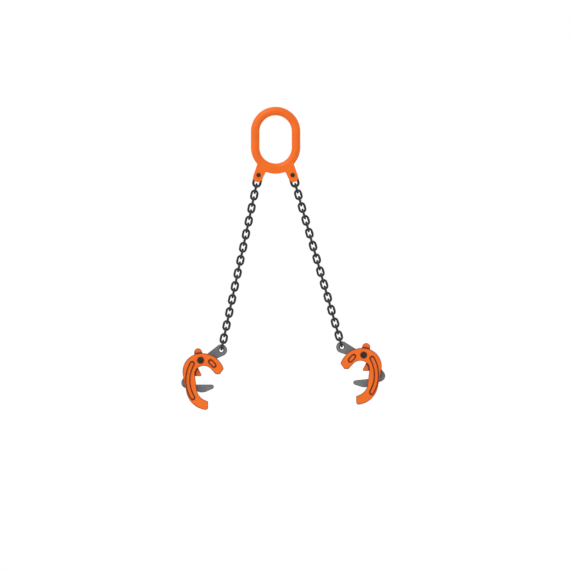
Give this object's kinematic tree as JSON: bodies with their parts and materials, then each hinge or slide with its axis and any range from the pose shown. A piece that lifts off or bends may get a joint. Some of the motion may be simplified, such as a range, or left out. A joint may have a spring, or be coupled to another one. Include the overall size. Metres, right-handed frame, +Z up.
{
  "type": "drum lifting clamp",
  "caption": "Chain sling with an oblong master link, two chain legs and C-shaped rim clamps with pivoting hook levers, for lifting a drum on its side.",
  "frame": {"origin": "the crane hook's seat: the inner top of the master link", "axes": "+Z up, +X to the viewer's right, +Y away from the viewer"},
  "size_m": [0.734, 0.0542, 1.091],
  "materials": {
    "orange_paint": "satin powder coat",
    "lever_grey": "satin grey",
    "chain_steel": "black oxide",
    "black_steel": "black oxide",
    "bush_bronze": "machined bronze",
    "spring_steel": "bright"
  },
  "bodies": {
    "master": {"master_link": "orange_paint", "left_lug_pin": "black_steel", "right_lug_pin": "black_steel", "left_lug_clip": "black_steel", "right_lug_clip": "black_steel"},
    "left_leg_top": {"left_end_link": "chain_steel"},
    "left_chain_01": {"left_chain_01": "chain_steel"},
    "left_chain_02": {"left_chain_02": "chain_steel"},
    "left_chain_03": {"left_chain_03": "chain_steel"},
    "left_chain_04": {"left_chain_04": "chain_steel"},
    "left_chain_05": {"left_chain_05": "chain_steel"},
    "left_chain_06": {"left_chain_06": "chain_steel"},
    "left_chain_07": {"left_chain_07": "chain_steel"},
    "left_chain_08": {"left_chain_08": "chain_steel"},
    "left_chain_09": {"left_chain_09": "chain_steel"},
    "left_chain_10": {"left_chain_10": "chain_steel"},
    "left_chain_11": {"left_chain_11": "chain_steel"},
    "left_chain_12": {"left_chain_12": "chain_steel"},
    "left_chain_13": {"left_chain_13": "chain_steel"},
    "left_lever": {"left_lever": "lever_grey", "left_lever_bush": "bush_bronze"},
    "left_clamp": {"left_cheek_head_side": "orange_paint", "left_cheek_clip_side": "orange_paint", "left_hook_block": "orange_paint", "left_toe_block": "orange_paint", "left_pivot_pin": "black_steel", "left_pivot_washer": "black_steel", "left_pivot_clip": "black_steel", "left_pivot_spacer": "black_steel", "left_latch_spring": "spring_steel"},
    "left_latch": {"left_latch": "orange_paint"},
    "right_leg_top": {"right_end_link": "chain_steel"},
    "right_chain_01": {"right_chain_01": "chain_steel"},
    "right_chain_02": {"right_chain_02": "chain_steel"},
    "right_chain_03": {"right_chain_03": "chain_steel"},
    "right_chain_04": {"right_chain_04": "chain_steel"},
    "right_chain_05": {"right_chain_05": "chain_steel"},
    "right_chain_06": {"right_chain_06": "chain_steel"},
    "right_chain_07": {"right_chain_07": "chain_steel"},
    "right_chain_08": {"right_chain_08": "chain_steel"},
    "right_chain_09": {"right_chain_09": "chain_steel"},
    "right_chain_10": {"right_chain_10": "chain_steel"},
    "right_chain_11": {"right_chain_11": "chain_steel"},
    "right_chain_12": {"right_chain_12": "chain_steel"},
    "right_chain_13": {"right_chain_13": "chain_steel"},
    "right_lever": {"right_lever": "lever_grey", "right_lever_bush": "bush_bronze"},
    "right_clamp": {"right_cheek_head_side": "orange_paint", "right_cheek_clip_side": "orange_paint", "right_hook_block": "orange_paint", "right_toe_block": "orange_paint", "right_pivot_pin": "black_steel", "right_pivot_washer": "black_steel", "right_pivot_clip": "black_steel", "right_pivot_spacer": "black_steel", "right_latch_spring": "spring_steel"},
    "right_latch": {"right_latch": "orange_paint"}
  },
  "joints": [
    {"name": "left_leg_swing", "type": "hinge", "parent": "master", "child": "left_leg_top", "pos_m": [-0.0615, 0, -0.2148], "axis": [0, 1, 0], "range_deg": [-35, 60]},
    {"name": "left_chain_01_sway", "type": "hinge", "parent": "left_leg_top", "child": "left_chain_01", "pos_m": [-0.07029, 0, -0.25618], "axis": [0.9781, 0, -0.2079], "range_deg": [-75, 75]},
    {"name": "left_chain_02_bend", "type": "hinge", "parent": "left_chain_01", "child": "left_chain_02", "pos_m": [-0.07847, 0, -0.29462], "axis": [0, 1, 0], "range_deg": [-38, 75]},
    {"name": "left_chain_03_sway", "type": "hinge", "parent": "left_chain_02", "child": "left_chain_03", "pos_m": [-0.09015, 0, -0.34959], "axis": [-0.9781, 0, 0.2079], "range_deg": [-75, 75]},
    {"name": "left_chain_04_bend", "type": "hinge", "parent": "left_chain_03", "child": "left_chain_04", "pos_m": [-0.09842, 0, -0.38852], "axis": [0, -1, 0], "range_deg": [-75, 45]},
    {"name": "left_chain_05_sway", "type": "hinge", "parent": "left_chain_04", "child": "left_chain_05", "pos_m": [-0.11011, 0, -0.44349], "axis": [0.9781, 0, -0.2079], "range_deg": [-75, 75]},
    {"name": "left_chain_06_bend", "type": "hinge", "parent": "left_chain_05", "child": "left_chain_06", "pos_m": [-0.11839, 0, -0.48242], "axis": [0, 1, 0], "range_deg": [-52, 75]},
    {"name": "left_chain_07_sway", "type": "hinge", "parent": "left_chain_06", "child": "left_chain_07", "pos_m": [-0.13007, 0, -0.53739], "axis": [-0.9781, 0, 0.2079], "range_deg": [-75, 75]},
    {"name": "left_chain_08_bend", "type": "hinge", "parent": "left_chain_07", "child": "left_chain_08", "pos_m": [-0.13834, 0, -0.57632], "axis": [0, -1, 0], "range_deg": [-75, 61]},
    {"name": "left_chain_09_sway", "type": "hinge", "parent": "left_chain_08", "child": "left_chain_09", "pos_m": [-0.15003, 0, -0.6313], "axis": [0.9781, 0, -0.2079], "range_deg": [-75, 75]},
    {"name": "left_chain_10_bend", "type": "hinge", "parent": "left_chain_09", "child": "left_chain_10", "pos_m": [-0.1583, 0, -0.67023], "axis": [0, 1, 0], "range_deg": [-75, 75]},
    {"name": "left_chain_11_sway", "type": "hinge", "parent": "left_chain_10", "child": "left_chain_11", "pos_m": [-0.16999, 0, -0.7252], "axis": [-0.9781, 0, 0.2079], "range_deg": [-75, 75]},
    {"name": "left_chain_12_bend", "type": "hinge", "parent": "left_chain_11", "child": "left_chain_12", "pos_m": [-0.17826, 0, -0.76413], "axis": [0, -1, 0], "range_deg": [-75, 75]},
    {"name": "left_chain_13_sway", "type": "hinge", "parent": "left_chain_12", "child": "left_chain_13", "pos_m": [-0.18995, 0, -0.8191], "axis": [0.9781, 0, -0.2079], "range_deg": [-75, 75]},
    {"name": "left_eye_hinge", "type": "hinge", "parent": "left_chain_13", "child": "left_lever", "pos_m": [-0.19494, 0, -0.84257], "axis": [0, 1, 0], "range_deg": [-60, 50]},
    {"name": "left_lever_pivot", "type": "hinge", "parent": "left_lever", "child": "left_clamp", "pos_m": [-0.27009, 0, -0.88155], "axis": [0, 1, 0], "range_deg": [-22, 8]},
    {"name": "left_latch_hinge", "type": "hinge", "parent": "left_clamp", "child": "left_latch", "pos_m": [-0.27009, 0, -0.88155], "axis": [0, 1, 0], "range_deg": [0, 10], "stiffness_Nm_per_rad": 1},
    {"name": "right_leg_swing", "type": "hinge", "parent": "master", "child": "right_leg_top", "pos_m": [0.0615, 0, -0.2148], "axis": [0, 1, 0], "range_deg": [-60, 35]},
    {"name": "right_chain_01_sway", "type": "hinge", "parent": "right_leg_top", "child": "right_chain_01", "pos_m": [0.07316, 0, -0.25546], "axis": [0.9613, 0, 0.2756], "range_deg": [-75, 75]},
    {"name": "right_chain_02_bend", "type": "hinge", "parent": "right_chain_01", "child": "right_chain_02", "pos_m": [0.08399, 0, -0.29324], "axis": [0, 1, 0], "range_deg": [-75, 38]},
    {"name": "right_chain_03_sway", "type": "hinge", "parent": "right_chain_02", "child": "right_chain_03", "pos_m": [0.09948, 0, -0.34726], "axis": [-0.9613, 0, -0.2756], "range_deg": [-75, 75]},
    {"name": "right_chain_04_bend", "type": "hinge", "parent": "right_chain_03", "child": "right_chain_04", "pos_m": [0.11045, 0, -0.38552], "axis": [0, -1, 0], "range_deg": [-45, 75]},
    {"name": "right_chain_05_sway", "type": "hinge", "parent": "right_chain_04", "child": "right_chain_05", "pos_m": [0.12594, 0, -0.43954], "axis": [0.9613, 0, 0.2756], "range_deg": [-75, 75]},
    {"name": "right_chain_06_bend", "type": "hinge", "parent": "right_chain_05", "child": "right_chain_06", "pos_m": [0.13691, 0, -0.4778], "axis": [0, 1, 0], "range_deg": [-75, 52]},
    {"name": "right_chain_07_sway", "type": "hinge", "parent": "right_chain_06", "child": "right_chain_07", "pos_m": [0.15241, 0, -0.53182], "axis": [-0.9613, 0, -0.2756], "range_deg": [-75, 75]},
    {"name": "right_chain_08_bend", "type": "hinge", "parent": "right_chain_07", "child": "right_chain_08", "pos_m": [0.16338, 0, -0.57008], "axis": [0, -1, 0], "range_deg": [-61, 75]},
    {"name": "right_chain_09_sway", "type": "hinge", "parent": "right_chain_08", "child": "right_chain_09", "pos_m": [0.17887, 0, -0.62411], "axis": [0.9613, 0, 0.2756], "range_deg": [-75, 75]},
    {"name": "right_chain_10_bend", "type": "hinge", "parent": "right_chain_09", "child": "right_chain_10", "pos_m": [0.18984, 0, -0.66236], "axis": [0, 1, 0], "range_deg": [-75, 75]},
    {"name": "right_chain_11_sway", "type": "hinge", "parent": "right_chain_10", "child": "right_chain_11", "pos_m": [0.20533, 0, -0.71639], "axis": [-0.9613, 0, -0.2756], "range_deg": [-75, 75]},
    {"name": "right_chain_12_bend", "type": "hinge", "parent": "right_chain_11", "child": "right_chain_12", "pos_m": [0.2163, 0, -0.75465], "axis": [0, -1, 0], "range_deg": [-75, 75]},
    {"name": "right_chain_13_sway", "type": "hinge", "parent": "right_chain_12", "child": "right_chain_13", "pos_m": [0.23179, 0, -0.80867], "axis": [0.9613, 0, 0.2756], "range_deg": [-75, 75]},
    {"name": "right_eye_hinge", "type": "hinge", "parent": "right_chain_13", "child": "right_lever", "pos_m": [0.2384, 0, -0.83174], "axis": [0, 1, 0], "range_deg": [-50, 60]},
    {"name": "right_lever_pivot", "type": "hinge", "parent": "right_lever", "child": "right_clamp", "pos_m": [0.31713, 0, -0.86267], "axis": [0, 1, 0], "range_deg": [-14, 16]},
    {"name": "right_latch_hinge", "type": "hinge", "parent": "right_clamp", "child": "right_latch", "pos_m": [0.31713, 0, -0.86267], "axis": [0, 1, 0], "range_deg": [-10, 0], "stiffness_Nm_per_rad": 1}
  ]
}
